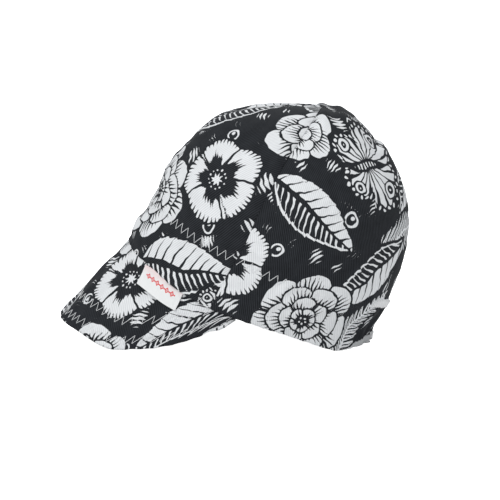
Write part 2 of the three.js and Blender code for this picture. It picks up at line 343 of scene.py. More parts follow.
def waves(x, y, length, seed, count=6):
    """Smooth and always alike unevenness, mostly within -1 and 1, with features of about that length."""
    rng = np.random.default_rng(seed)
    total = 0
    for angle, phase, stretch in rng.uniform((0, 0, 0.7), (np.pi, CIRCLE, 1.4), (count, 3)):
        along = x * np.cos(angle) + y * np.sin(angle)
        total = total + np.sin(CIRCLE * along / (length * stretch) + phase)
    return total / np.sqrt(count)


def part_of(value, pitch):
    """Distance from the middle line of the nearest of many bands of that pitch."""
    return np.abs(value / pitch % 1 - 0.5) * pitch


# The print: generic ink drawings of blooms, leaves, ferns, butterflies and berries among short strokes.
# Each drawing gives its edge, below 0 inside it, and its white, above 0 where the ink is left off.
def over(under, edge, white, gap):
    """One drawing laid over what is there, with a black line of width gap round it."""
    return np.maximum(np.minimum(under, edge - gap), white)


BLOOM_LAYERS = table(
    "reach petals notch turn hatches",
    (1.00, 7, 0.22, 0.0, 61),
    (0.74, 6, 0.24, 0.5, 47),
    (0.50, 5, 0.26, 0.2, 31),
    (0.28, 5, 0.24, 0.8, 19),
)


def blossom(x, y):
    reach = np.hypot(x, y)
    angle = np.arctan2(y, x)
    white = outline = None
    for layer, inner in zip(BLOOM_LAYERS, BLOOM_LAYERS[1:] + [{"reach": 0.13}]):
        lobe = np.abs(np.cos(layer["petals"] * (angle - layer["turn"]) / 2)) ** 0.5
        edge = reach - layer["reach"] * (1 - layer["notch"] * (1 - lobe))
        cleft = reach * part_of(angle - layer["turn"], CIRCLE / layer["petals"]) - 0.014
        stroke = 0.17 * (1 + 0.6 * np.sin(5 * angle + layer["petals"])) * (0.4 + layer["reach"])
        taper = 1 - (reach - 0.88 * inner["reach"]) / stroke
        hatch = reach * part_of(angle, CIRCLE / layer["hatches"])
        petal = np.minimum(np.minimum(-edge, cleft), hatch - 0.022 * taper)
        white = petal if white is None else over(white, edge, petal, 0.026)
        outline = edge if outline is None else outline
    stamens = 0.028 - np.hypot(reach - 0.075, reach * part_of(angle, CIRCLE / 5))
    return outline, over(white, reach - 0.12, stamens, 0.02)


def leaf(x, y):
    teeth = 0.035 * (x * 5.5 % 1)
    half = 0.44 * np.clip(1 - x**2, 0, 1) ** 0.8 * (1 - 0.2 * x) + teeth * np.clip(1 - x**2, 0, 1)
    edge = np.maximum((np.abs(y) - half) * 0.9, np.abs(x) - 1)
    near = np.abs(y) / (half + 0.01)
    rib = np.abs(y) - 0.02 * (1.1 - x)
    vein = part_of(x - 0.62 * np.abs(y), 0.2) * 0.85 - 0.017 * (1.05 - near)
    lit = np.minimum(np.minimum(-edge, rib), vein)
    nerves = 0.030 * (1.15 - near) - part_of(x - 0.62 * np.abs(y) + 0.05, 0.125)
    rim = np.minimum(-edge - 0.03, 0.075 + edge)
    dark = np.minimum(np.minimum(-edge - 0.03, rib - 0.02), np.maximum(nerves, rim))
    return edge, np.where(y < 0, dark, lit)


def fern(x, y):
    bent = y - 0.16 * np.cos(1.6 * x)
    half = 0.42 * np.clip(1 - ((x + 0.05) / 1.02) ** 2, 0, 1) ** 0.6 * (1.05 - 0.35 * x)
    edge = np.maximum((np.abs(bent) - half) * 0.9, np.abs(x) - 1)
    near = np.clip(np.abs(bent) / (half + 0.01), 0, 1)
    slot = part_of(x - 0.6 * np.abs(bent), 0.145)
    leaflet = 0.058 * np.sqrt(1 - near**2) - slot
    crease = slot - 0.012 * (1 - near)
    stem = 0.024 - np.abs(bent)
    return edge, np.minimum(np.maximum(np.minimum(leaflet, crease), stem), 1 - np.abs(x))


def butterfly(x, y):
    """Two pairs of spotted wings round a striped body."""
    x = np.abs(x)
    reach = np.hypot(x, y)
    angle = np.arctan2(y, x)
    upper = 1.0 * np.abs(np.cos(np.clip(1.15 * (angle - 0.66), -np.pi / 2, np.pi / 2))) ** 0.55
    lower = 0.78 * np.abs(np.cos(np.clip(1.45 * (angle + 0.80), -np.pi / 2, np.pi / 2))) ** 0.55
    wing = np.where(angle > -0.08, upper, lower) + 0.02 * np.cos(26 * angle)
    edge = reach - wing
    inner = -edge - 0.13
    beads = 0.036 - np.hypot(edge + 0.065, reach * part_of(angle, 0.155))
    vein = reach * part_of(angle + 0.1, 0.31) - 0.010 - 0.030 * np.clip(1 - (inner / 0.3), 0, 1)
    white = np.minimum(inner, vein)
    for spot_x, spot_y, size in ((0.52, 0.46, 0.15), (0.40, -0.36, 0.12)):
        off = np.hypot(x - spot_x, y - spot_y)
        eye = np.maximum(np.minimum(size - off, off - 0.55 * size), 0.2 * size - off)
        white = over(white, off - size, eye, 0.028)
    body = np.hypot(x / 0.075, (y + 0.02) / 0.42)
    stripes = np.minimum(part_of(y, 0.085) - 0.02, (0.8 - body) * 0.075)
    white = over(np.maximum(white, beads), (body - 1) * 0.07, stripes, 0.02)
    return np.minimum(edge, (body - 1) * 0.07), white


def poppy(x, y):
    """Broad petals round a black heart."""
    reach = np.hypot(x, y)
    angle = np.arctan2(y, x)
    lobe = np.abs(np.cos(5 * angle / 2)) ** 0.4
    edge = reach - (1 - 0.16 * (1 - lobe)) - 0.015 * np.cos(23 * angle)
    cleft = reach * part_of(angle, CIRCLE / 5) - 0.016 - 0.05 * np.clip(0.75 - reach, 0, 1)
    spokes = reach * part_of(angle, CIRCLE / 55)
    tongues = 0.52 + 0.16 * np.sin(5 * angle + 1) + 0.07 * np.sin(17 * angle)
    flame = spokes - 0.045 * (1 - (reach - 0.3) / (tongues - 0.3))
    rim = spokes - 0.016 * (reach - 0.84) / 0.1
    white = np.minimum(np.minimum(-edge, cleft), np.minimum(flame, rim))
    seeds = 0.026 - np.hypot(reach - 0.2, reach * part_of(angle, CIRCLE / 12))
    star = 0.10 - reach * (1 + 0.35 * np.cos(8 * angle))
    return edge, over(white, reach - 0.28, np.maximum(seeds, star), 0.02)


def berry(x, y):
    reach = np.hypot(x, y)
    light = 0.3 - np.hypot(x + 0.2, y - 0.2)
    return reach - 1, np.maximum(np.minimum(1 - reach, reach - 0.66), light)


PRINT_WIDTH = 262
PRINT_HEIGHT = 262
OUTLINE = 1.5  # black line round a drawing
INK_SPREAD = 0.14  # how far the ink has run past the drawn edges
STROKE_PITCH = 3.4
# Places in the part of the cloth that repeats, sizes in millimetres and turns in degrees
DRAWINGS = table(
    "draw x y size turn",
    (fern, 190, 40, 44, -50),
    (fern, 176, 176, 42, 25),
    (fern, 20, 236, 37, 110),
    (fern, 96, 226, 35, 160),
    (leaf, 118, 30, 44, 35),
    (leaf, 158, 106, 40, 118),
    (leaf, 32, 136, 40, 72),
    (leaf, 228, 228, 41, -24),
    (leaf, 54, 206, 39, -38),
    (leaf, 238, 52, 32, 160),
    (poppy, 92, 96, 32, 0),
    (butterfly, 238, 170, 41, 24),
    (butterfly, 160, 22, 28, 200),
    (blossom, 44, 46, 39, 10),
    (blossom, 228, 108, 33, 60),
    (blossom, 106, 174, 38, 200),
    (poppy, 158, 234, 30, 130),
)
BERRIES = 30


def ink(x, y):
    """How far a place on the cloth is inside white, in millimetres, or below 0 inside black."""
    x = x + 1.1 * waves(x, y, 34, 11) + 0.28 * waves(x, y, 7, 12)
    y = y + 1.1 * waves(x, y, 31, 13) + 0.28 * waves(x, y, 6, 14)
    stroke = part_of(x * 0.5 + y + 5 * waves(x, y, 60, 15), STROKE_PITCH)
    value = 0.95 * (waves(x, y, 26, 16) - 0.35) - stroke
    rng = np.random.default_rng(21)
    places = rng.uniform((0, 0, 3.2), (PRINT_WIDTH, PRINT_HEIGHT, 6), (BERRIES, 3))
    berries = [dict(draw=berry, x=px, y=py, size=size, turn=0) for px, py, size in places]
    for row in berries + DRAWINGS:
        dx = (x - row["x"] + PRINT_WIDTH / 2) % PRINT_WIDTH - PRINT_WIDTH / 2
        dy = (y - row["y"] + PRINT_HEIGHT / 2) % PRINT_HEIGHT - PRINT_HEIGHT / 2
        near = np.hypot(dx, dy) < 1.25 * row["size"] + OUTLINE
        c, s = direction(row["turn"])
        u = (dx[near] * c + dy[near] * s) / row["size"]
        v = (dy[near] * c - dx[near] * s) / row["size"]
        edge, white = row["draw"](u, v)
        value[near] = over(value[near], edge * row["size"], white * row["size"], OUTLINE)
    return np.clip(value - INK_SPREAD, -1.5, 1.5)


# How each piece lies on the printed cloth before it is cut, and how its twill is turned
CUTS = {
    row["panel"]: row
    for row in table(
        "panel turn x y twill",
        ("crown_front_left", 14, 92, 8, 62),
        ("crown_front_right", -160, 20, 120, 58),
        ("crown_back_left", 98, 118, 196, 118),
        ("crown_back_right", -78, 60, 30, 122),
        ("bill", 186, 40, 76, 52),
    )
}


def print_of(panel, x, y):
    cut = CUTS[panel]
    c, s = direction(cut["turn"])
    return ink(x * c - y * s + cut["x"], x * s + y * c + cut["y"])


# Soft creases of the worn cloth: place on a panel in millimetres from its middle line and its hem,
# turn of the crease in degrees from level, how long and wide it is, and how high it stands
CREASES = table(
    "panel x y turn length width height",
    ("crown_back_left", -44, 34, 68, 26, 4.5, 1.1),
    ("crown_back_left", -30, 22, 30, 24, 4.0, -0.9),
    ("crown_back_left", -2, 58, 12, 34, 7.0, 1.0),
    ("crown_back_left", 42, 70, -50, 30, 6.0, -1.0),
    ("crown_back_left", 20, 30, -24, 22, 5.0, 0.8),
    ("crown_back_left", -8, 22, 78, 18, 5.0, -0.9),
    ("crown_back_left", 12, 96, 36, 36, 9.0, -1.0),
    ("crown_back_right", -36, 40, 64, 28, 5.0, 0.8),
    ("crown_back_right", 12, 62, 20, 34, 7.0, 0.7),
    ("crown_back_right", 36, 24, -30, 24, 5.0, -0.7),
    ("crown_front_left", 10, 66, 40, 30, 6.0, 0.9),
    ("crown_front_left", -22, 22, -18, 22, 4.5, 0.5),
    ("crown_front_right", -12, 58, -38, 32, 6.5, 0.7),
    ("crown_front_right", 20, 26, 24, 24, 5.0, -0.5),
)
# Where the casing's edge and the hem's facing turn outward by the back seam: heights over the hem there,
# how fast they climb away from the seam, how far they reach and taper off, how far they stand out, and
# how much is added to the print's white as a painted highlight, which lights the casing fold and not the
# hem's facing
TURNED_CLOTH = table(
    "foot top climb reach taper stand_out bare",
    (25.8, 32.6, 0.20, 58, 12, 2.4, 6),
    (-2.0, 6.2, 0, 84, 56, 1.3, 0),
)


def even(values, points, spacing):
    """values at even spacing along the line of points that they give."""
    arc = np.concatenate([[0], np.cumsum(np.linalg.norm(np.diff(points, axis=0), axis=1))])
    count = max(int(np.ceil(arc[-1] / spacing)), 2)
    return np.interp(np.linspace(0, arc[-1], count + 1), arc, values)


def arcs(points, axis):
    """Distance along the grid's rows or columns from their first point."""
    steps = np.linalg.norm(np.diff(points, axis=axis), axis=-1)
    start = np.zeros_like(np.take(steps, [0], axis=axis))
    return np.concatenate([start, np.cumsum(steps, axis=axis)], axis=axis)


def grid_outward(points, centre):
    along_rows = np.gradient(points, axis=0)
    along_columns = np.gradient(points, axis=1)
    outward = unit(np.cross(along_columns, along_rows))
    return outward * np.sign((outward * (points - centre)).sum(-1).mean())


def rolled(points, outward, axis, first, radius):
    """Rows or columns that carry on past an edge of the grid and turn in round a small radius."""
    edge, inner = (0, 1) if first else (-1, -2)
    at = np.take(points, edge, axis=axis)
    away = unit(at - np.take(points, inner, axis=axis))
    out = np.take(outward, edge, axis=axis)
    turns = np.linspace(0, np.pi, ROLL_STEPS + 1)[1:]
    lines = [at + radius * (away * np.sin(a) - out * (1 - np.cos(a))) for a in turns]
    return np.stack(lines[::-1] if first else lines, axis)


def widened(grid, rows=(0, 0), columns=(0, 0)):
    """A grid of values carried on unchanged over the rows and columns that a roll adds to it."""
    return np.pad(grid, (rows, columns) + ((0, 0),) * (grid.ndim - 2), "edge")


def on_floor(points):
    """The same points, with what would be below the floor laid on it."""
    points[..., 2] = np.maximum(points[..., 2], 0)
    return points


def rimmed(points, facing, side_radius, end_radius, first):
    """A sheet's grid with rolled edges at both its sides and at its first or its last row."""
    left, right = (rolled(points, facing, 1, start, side_radius) for start in (True, False))
    wide = np.concatenate([left, points, right], 1)
    end = rolled(wide, widened(facing, columns=BOTH), 0, first, end_radius)
    return on_floor(np.concatenate([end, wide] if first else [wide, end], 0))


def cut_of(points):
    """Width, length and area, in metres, of the flat cloth that a grid of points is made from."""
    width = arcs(points, 1)[:, -1].max() / 1000
    length = arcs(points, 0)[-1].max() / 1000
    along_rows, along_columns = points[1:, :-1] - points[:-1, :-1], points[:-1, 1:] - points[:-1, :-1]
    area = np.linalg.norm(np.cross(along_rows, along_columns), axis=-1).sum() / 1e6
    return {"flat": (width, length), "area": area}


class Cloth:
    """Grids of vertices gathered into one mesh, with the print, the cloth's own place and its side."""

    def __init__(self):
        self.parts = []

    def add(self, points, print_ink, x, y, reverse, around=False, closed=False):
        """around joins the last column to the first one, and closed the last row to the first."""
        shape = points.shape[:2]
        values = [np.broadcast_to(value, shape).astype(float) for value in (print_ink, x, y, reverse)]
        self.parts.append((points, *values, around, closed))

    def build(self, name, material):
        points, quads, inks, places, sides, uvs = [], [], [], [], [], []
        start = 0
        for grid, print_ink, x, y, reverse, around, closed in self.parts:
            rows, columns = grid.shape[:2]
            index = np.arange(rows * columns).reshape(rows, columns) + start
            if around:
                index = np.concatenate([index, index[:, :1]], 1)
            if closed:
                index = np.concatenate([index, index[:1]], 0)
            corners = (index[:-1, :-1], index[:-1, 1:], index[1:, 1:], index[1:, :-1])
            quads.append(np.stack(corners, -1).reshape(-1, 4))
            points.append(grid.reshape(-1, 3) / 1000)
            inks.append(print_ink.ravel())
            places.append(np.stack([x.ravel(), y.ravel(), 0 * x.ravel()], -1))
            sides.append(reverse.ravel())
            u, v = np.meshgrid(np.linspace(0.01, 0.99, columns), np.linspace(0.01, 0.99, rows))
            uvs.append(np.stack([u.ravel(), v.ravel()], -1))
            start += rows * columns
        points, quads = np.concatenate(points), np.concatenate(quads)
        mesh = bpy.data.meshes.new(name)
        mesh.vertices.add(len(points))
        mesh.vertices.foreach_set("co", points.astype(np.float32).ravel())
        mesh.loops.add(quads.size)
        mesh.loops.foreach_set("vertex_index", quads.ravel().astype(np.int32))
        mesh.polygons.add(len(quads))
        mesh.polygons.foreach_set("loop_start", np.arange(0, quads.size, 4, dtype=np.int32))
        mesh.polygons.foreach_set("loop_total", np.full(len(quads), 4, np.int32))
        mesh.polygons.foreach_set("use_smooth", np.ones(len(quads), bool))
        for key, parts in (("ink", inks), ("reverse", sides)):
            values = np.concatenate(parts).astype(np.float32)
            mesh.attributes.new(key, "FLOAT", "POINT").data.foreach_set("value", values)
        cloth = mesh.attributes.new("cloth", "FLOAT_VECTOR", "POINT")
        cloth.data.foreach_set("vector", np.concatenate(places).astype(np.float32).ravel())
        layer = mesh.uv_layers.new(name="OFBake")
        layer.uv.foreach_set("vector", np.concatenate(uvs)[quads.ravel()].astype(np.float32).ravel())
        mesh.materials.append(material)
        mesh.update()
        mesh.validate()
        piece = bpy.data.objects.new(name, mesh)
        bpy.context.scene.collection.objects.link(piece)
        return piece


CAP_CENTRE = np.array([10 + move_x, 0, 70])  # a place in the hollow, which every outside faces away from


def creased(node, x, y):
    """How high a panel's soft creases stand."""
    lift = 0 * x
    for crease in CREASES:
        if crease["panel"] == node:
            c, s = direction(crease["turn"])
            dx, dy = x - crease["x"], y - crease["y"]
            on, off = (dx * c + dy * s) / crease["length"], (dy * c - dx * s) / crease["width"]
            lift += crease["height"] * np.exp(-2 * on**2 - off**2)
    return lift


def turned_cloth(along, y):
    """How far turned cloth stands out, where its wrong side shows, and the painted highlight it adds to the
    white.
    """
    lift, turned, bare = 0 * y, 0 * y, 0 * y
    ragged = 0.35 * waves(along, y, 5, 35)
    for fold in TURNED_CLOTH:
        fade = 1 - smoothstep(along, fold["reach"] - fold["taper"], fold["reach"])
        height = (fold["top"] - fold["foot"]) * fade
        up = y - fold["foot"] - fold["climb"] * along - ragged
        patch = smoothstep(up, -0.4, 0.5) * (1 - smoothstep(up - height, -0.5, 0.4))
        patch = patch * smoothstep(fade, 0, 0.2)
        lift += fold["stand_out"] * patch * (0.35 + 0.65 * np.clip(up / (height + 0.1), 0, 1))
        turned = np.maximum(turned, patch)
        # painted highlight: the fold's white is raised so its wrong side shows lit, without the ghost print
        bare = np.maximum(bare, fold["bare"] * patch)
    return lift, turned, bare


def crown_panel(node, side, front):
    """One printed panel of the crown: its outside with rolled edges, and the cloth's wrong side within."""
    centre_seam = HAIR if front else 180 - HAIR
    side_seam = SIDE_SEAM - HAIR if front else SIDE_SEAM + HAIR
    fine = np.linspace(0, TIP_SHARE, 500)
    middle = (centre_seam + side_seam) / 2
    shares = even(fine, crown_local(side * middle, fine), GRID)
    turns = np.linspace(centre_seam, side_seam, 300)
    turns = even(turns, crown_local(side * turns, share_at(0.4 * CROWN_HEIGHT)), GRID)
    across = (turns - centre_seam) / (side_seam - centre_seam)
    seams = [crown_local(side * seam, shares) for seam in (centre_seam, side_seam)]
    apart = np.linalg.norm(seams[0] - seams[1], axis=-1)
    inset = np.minimum(SEAM_INSET / np.maximum(apart, 0.01), 0.2)[:, None]
    turn = centre_seam + (inset + across * (1 - 2 * inset)) * (side_seam - centre_seam)
    trim = share_at(column(HEM_TRIM, "cut", turn / SIDE_SEAM)) if front else 0
    base = stand(crown_local(side * turn, trim + shares[:, None] * (1 - trim / TIP_SHARE)))
    outward = grid_outward(base, CAP_CENTRE)
    along = arcs(base, 1)
    width = along[:, -1:]
    to_seam = np.minimum(along, width - along)
    x = along - width / 2
    x = x * (1 if (side < 0) == front else -1)
    y = arcs(base, 0)
    level = y[:, [y.shape[1] // 2]]
    cloth_y = y + (level - y) * smoothstep(shares, 0.2, 0.9)[:, None]

    lift = SEAM_PUCKER * waves(y, 0, SEAM_PUCKER_LENGTH, 31) * np.exp(-to_seam / PUCKER_REACH)
    lift *= smoothstep(width, 20, 60)
    for row in CLOTH_WAVES:
        wave = waves(base[..., 0], base[..., 2], row["length"], row["seed"])
        lift += row["height"] * wave * smoothstep(to_seam, row["start"], row["whole"])
    lift += HEM_PUCKER * waves(x, 0, HEM_PUCKER_LENGTH, 34) * np.exp(-y / PUCKER_REACH)
    lift += creased(node, x, y)
    turned, bare = 0 * x, 0 * x
    if not front:
        stand_out, turned, bare = turned_cloth(along, y)
        lift += stand_out
    lift *= smoothstep(to_seam, -1.5, 3)
    spine = np.stack([0 * x + CAP_CENTRE[0], 0 * x, np.minimum(base[..., 2], CAP_CENTRE[2])], -1)
    spoke = unit(base - spine)
    sag = -SEAM_DIP * np.exp(-((to_seam / SEAM_DIP_SPAN) ** 2)) * smoothstep(width, 15, 60)
    for place in SLOUCH:
        away = np.hypot(base[..., 0] - place["x"], base[..., 2] - place["z"]) / place["reach"]
        sag += place["out"] * np.exp(-(away**2))
    outside = on_floor(base + outward * lift[..., None] + spoke * sag[..., None])
    value = print_of(node, x, cloth_y)

    facing = grid_outward(outside, CAP_CENTRE)
    full = rimmed(outside, facing, SEAM_ROLL, HEM_ROLL, True)
    # the turned casing fold's painted highlight is added to the print's white here
    shown = (x, cloth_y, value + bare, turned)
    px, py, pv, pt = (widened(values, (ROLL_STEPS, 0), BOTH) for values in shown)
    face = Cloth()
    face.add(full, pv, px, py, pt)
    allowance = ALLOWANCE_WALL * (1 - smoothstep(to_seam, ALLOWANCE - 1.5, ALLOWANCE + 1.5))
    depth = PANEL_WALL + allowance * smoothstep(width, 20, 40)
    # Where the inside band lies behind it, the wrong side keeps off the band
    room = np.clip(PANEL_WALL + 0.6 * BAND_GAP + lift + sag, 0.3, depth)
    over_band = y - BAND_FOOT - BAND_HEIGHT
    depth = room + (depth - room) * smoothstep(over_band, 1, 6)
    inside = outside - facing * depth[..., None]
    for edge, inner in ((0, 1), (-1, -2)):
        away = unit(outside[:, edge] - outside[:, inner])
        shallow = np.minimum(depth[:, edge], PANEL_WALL)[:, None]
        inside[:, edge] = outside[:, edge] + away * SEAM_INSET - spoke[:, edge] * shallow
    rows, columns = (np.unique(np.append(np.arange(0, n, INSIDE_STEP), n - 1)) for n in x.shape)
    picked = np.ix_(rows, columns[::-1])
    within = Cloth()
    within.add(on_floor(inside[picked]), value[picked], x[picked], cloth_y[picked], 1)
    cloth = printed_twill(node)
    pieces = face.build(f"{node}_cloth", cloth), within.build(f"{node}_wrong_side", cloth)
    return pieces, cut_of(base), dict(points=outside, facing=facing, x=x, y=y)


def bill_panel():
    """The bill: printed face with its rolled edge, and printed underside."""
    tried = np.linspace(-BILL_SPAN, BILL_SPAN, 700)
    around = even(tried, bill_local(tried, bill_reach(tried)), GRID)
    beside = np.abs(around)
    start, full, ease, end = BILL_TRIM_SPAN
    cut_back = smoothstep(beside, start, full) * (1 - smoothstep(beside, ease, end))
    reach = bill_reach(around) - BILL_TRIM * cut_back
    root_height = height_over_floor(bill_local(around, 0))
    edge_height = height_over_floor(bill_local(around, reach))
    reach = np.where(edge_height < 0, reach * root_height / (root_height - edge_height), reach)
    radius = BILL_WALL / 2
    root_rows = np.linspace(-1, 0, int(BILL_ROOT / GRID), endpoint=False)
    rows = np.concatenate([root_rows, np.linspace(0, 1, int(BILL_LENGTH / GRID))])[:, None]
    r = np.where(rows < 0, rows * BILL_ROOT, rows * np.maximum(reach - radius, 0.5))
    base = stand(bill_local(around, r))
    outward = grid_outward(base, CAP_CENTRE)
    x = arcs(base, 1)
    x = x - x[:, -1:] / 2
    from_edge = reach - r
    lift = BILL_WAVE * waves(x, r, 26, 41) * smoothstep(r, 0, 12)
    lift -= BILL_DROOP * smoothstep(r, 18, BILL_LENGTH + 4) * (1 - smoothstep(beside, *BILL_DROOP_SPAN))
    lift += BILL_PUCKER * waves(x, 0, 12, 42) * np.exp(-from_edge / 6) * smoothstep(r, 0, 12)
    for row in BILL_STITCHES:
        furrow = np.exp(-(((from_edge - row["from_edge"]) / 1.6) ** 2))
        lift -= ROW_FURROW * furrow * smoothstep(r, 2, 8)
    outside = on_floor(base + outward * lift[..., None])
    value = print_of("bill", x, -r)

    facing = grid_outward(outside, CAP_CENTRE)
    full = rimmed(outside, facing, radius, radius, False)
    px, py, pv = (widened(values, (0, ROLL_STEPS), BOTH) for values in (x, -r, value))
    face = Cloth()
    face.add(full[::-1], pv[::-1], px[::-1], py[::-1], 0)
    under_x, under_y = x[::2, ::2], r[::2, ::2]
    below = Cloth()
    under = on_floor((outside - facing * BILL_WALL)[::2, ::2])
    below.add(under, print_of("bill", under_x + 60, under_y), under_x, under_y, 0)
    cloth = printed_twill("bill")
    pieces = face.build("bill_cloth", cloth), below.build("bill_underside", cloth)
    return pieces, cut_of(base), dict(points=outside, facing=facing, x=x, y=r, from_edge=from_edge)


def sample(grid, i, j):
    """A grid's value between its rows and columns."""
    i0 = np.minimum(np.floor(i).astype(int), grid.shape[0] - 2)
    j0 = np.minimum(np.floor(j).astype(int), grid.shape[1] - 2)
    f, g = (i - i0)[:, None], (j - j0)[:, None]
    low = grid[i0, j0] * (1 - g) + grid[i0, j0 + 1] * g
    high = grid[i0 + 1, j0] * (1 - g) + grid[i0 + 1, j0 + 1] * g
    return low * (1 - f) + high * f


def zigzag(surface, up, start, stop, first, last):
    """Points and outward directions of a zigzag stitch between two places, from its height at the
    first to its height at the last; up gives the height of each grid point."""
    count = int((stop - start) / (TOOTH_PITCH / 2))
    teeth = np.arange(count + 1)
    across = start + teeth * TOOTH_PITCH / 2
    above = np.linspace(first, last, count + 1) + (teeth % 2 - 0.5) * TOOTH_HEIGHT
    rows, columns = surface["x"].shape
    spots = []
    for x, y in zip(across, above):
        j = columns / 2
        for _ in range(3):
            heights = up[:, int(round(j))]
            order = 1 if heights[-1] > heights[0] else -1
            i = np.interp(y, heights[::order], np.arange(rows)[::order])
            line = surface["x"][int(round(i))]
            order = 1 if line[-1] > line[0] else -1
            j = np.interp(x, line[::order], np.arange(columns)[::order])
        spots.append((i, j))
    spots = np.array(spots)
    parts = 6
    shares = np.linspace(0, 1, parts, endpoint=False)
    legs = spots[:-1, None] + shares[:, None] * (spots[1:] - spots[:-1])[:, None]
    legs = np.concatenate([legs.reshape(-1, 2), spots[-1:]])
    facing = unit(sample(surface["facing"], legs[:, 0], legs[:, 1]))
    arch = np.append(np.tile(np.sin(np.pi * shares) ** 0.5, count), 0)
    lift = THREAD * (1.15 * arch - 0.3)
    return sample(surface["points"], legs[:, 0], legs[:, 1]) + facing * lift[:, None], facing


def thread(name, paths, material):
    """Sewing thread along each path, as a thin round tube."""
    sides = 6
    cloth = Cloth()
    for path, facing in paths:
        along = unit(np.gradient(path, axis=0))
        across = unit(np.cross(along, facing))
        out = np.cross(across, along)
        turns = np.linspace(0, CIRCLE, sides, endpoint=False)
        rings = [path + THREAD * (across * np.cos(a) + out * np.sin(a)) for a in turns]
        tube = np.stack(rings, 1)
        length = np.repeat(arcs(path[:, None], 0), sides, 1)
        cloth.add(tube, 0, length, turns, 0, around=True)
    return cloth.build(name, material)


def inside_band():
    """The band that lines the hem, with rounded edges and small gathers at the back."""
    azimuth = np.linspace(-180, 180, 480, endpoint=False)
    half = BAND_WALL / 2
    turns = np.linspace(0, np.pi, 7)[1:-1]
    climb = np.linspace(BAND_FOOT + half, BAND_HEIGHT - half, 44)
    over_top, over_foot = BAND_HEIGHT - half + half * np.sin(turns), BAND_FOOT + half - half * np.sin(turns)
    rise = np.concatenate([climb, over_top, climb[::-1], over_foot])
    flat_out, flat_in = 0 * climb, 0 * climb + BAND_WALL
    depth = np.concatenate([flat_out, half * (1 - np.cos(turns)), flat_in, half * (1 + np.cos(turns))])
    over_bill = 1 - smoothstep(np.abs(azimuth), BILL_SPAN + 2, BILL_SPAN + 12)
    below_root = 1 - smoothstep(rise, BILL_ROOT + 1, 2 * BILL_ROOT)
    behind = (BILL_WALL + SEAM_GAP) * over_bill * below_root[:, None]
    arc = np.radians(azimuth) * HEM_WIDTH / 2
    window = smoothstep(np.abs(azimuth), 120, 145)
    uneven = arc + 1.2 * waves(arc, 0, 30, 51)
    gathers = 0.7 * window * (1 - np.cos(CIRCLE * uneven / BAND_GATHERS))
    gathers = gathers + 0.2 * (1 + np.clip(waves(arc, 0, 22, 52), -1, 1))
    gathers = gathers * np.sin(np.pi * rise / (BAND_HEIGHT + 6))[:, None]
    full_depth = PANEL_WALL + BAND_GAP + behind + depth[:, None] + gathers
    points = stand(under_crown(azimuth, share_at(rise)[:, None], full_depth))
    girth = arcs(points, 1)
    height = np.arange(len(rise))[:, None] + 0 * girth
    band = Cloth()
    band.add(points, -1.5, girth, height, 0, around=True, closed=True)
    return band.build("inside_band", plain_twill("band_twill")), cut_of(points[: len(climb)])


def tag_motif(x, y):
    """A row of small rings and beads across the tag, in millimetres inside them."""
    u, v = part_of(x, TAG_MOTIF_PITCH), np.abs(y)
    lozenge = 2.2 - 1.15 * u - v
    ring = np.maximum(np.minimum(lozenge, 1.15 - lozenge), lozenge - 1.6)
    bead = 0.6 - np.hypot(part_of(x + TAG_MOTIF_PITCH / 2, TAG_MOTIF_PITCH), v)
    return np.where(np.abs(x) < 3.1 * TAG_MOTIF_PITCH, np.maximum(ring, bead), -1.5)


def woven_tag():
    """The tag sewn into the hem seam: woven satin with a plain row of small motifs."""
    share = np.linspace(-0.5, 0.5, 180)
    r = np.linspace(SEAM_GAP - TAG_RAISE, SEAM_GAP - TAG_RAISE + TAG_DROP, 80)[:, None]
    step = bill_local(-TAG_AZIMUTH, r[:, 0]) - bill_local(1 - TAG_AZIMUTH, r[:, 0])
    degree = np.linalg.norm(step, axis=-1)[:, None]
    down = (r - r[0]) / TAG_DROP + 0 * share
    around = share * (TAG_WIDTH + TAG_TILT * (1 - down)) / degree - TAG_AZIMUTH
    r = r + TAG_TILT * (share - 0.2) * (1 - down)
    lift = SEAM_GAP + TAG_WALL + TAG_FLARE * down**2 * (1 + 0.5 * share)
    lift += 0.5 * np.cos(CIRCLE * share) * down
    lift += 0.12 * waves(share * TAG_WIDTH, r, 11, 61) + 0.35 * smoothstep(np.abs(share), 0.42, 0.47)
    points = stand(bill_local(around, r) + bill_outward(around, r) * lift[..., None])
    facing = grid_outward(points, CAP_CENTRE)
    radius = TAG_WALL / 2 - 0.1
    x, y = share * TAG_WIDTH + 0 * down, -down * TAG_DROP
    full = rimmed(points, facing, radius, radius, False)
    px, py = (widened(values, (0, ROLL_STEPS), BOTH) for values in (x, y))
    motif = tag_motif(px, py + TAG_DROP * 0.42 - 0.045 * px)
    face = Cloth()
    face.add(full[::-1], motif[::-1], px[::-1], py[::-1], 0)
    back = Cloth()
    back.add((points - facing * 2 * radius)[::2, ::2], -1.5, x[::2, ::2], y[::2, ::2], 1)
    cloth = satin("tag_satin")
    return (face.build("woven_tag", cloth), back.build("woven_tag_back", cloth)), cut_of(points)


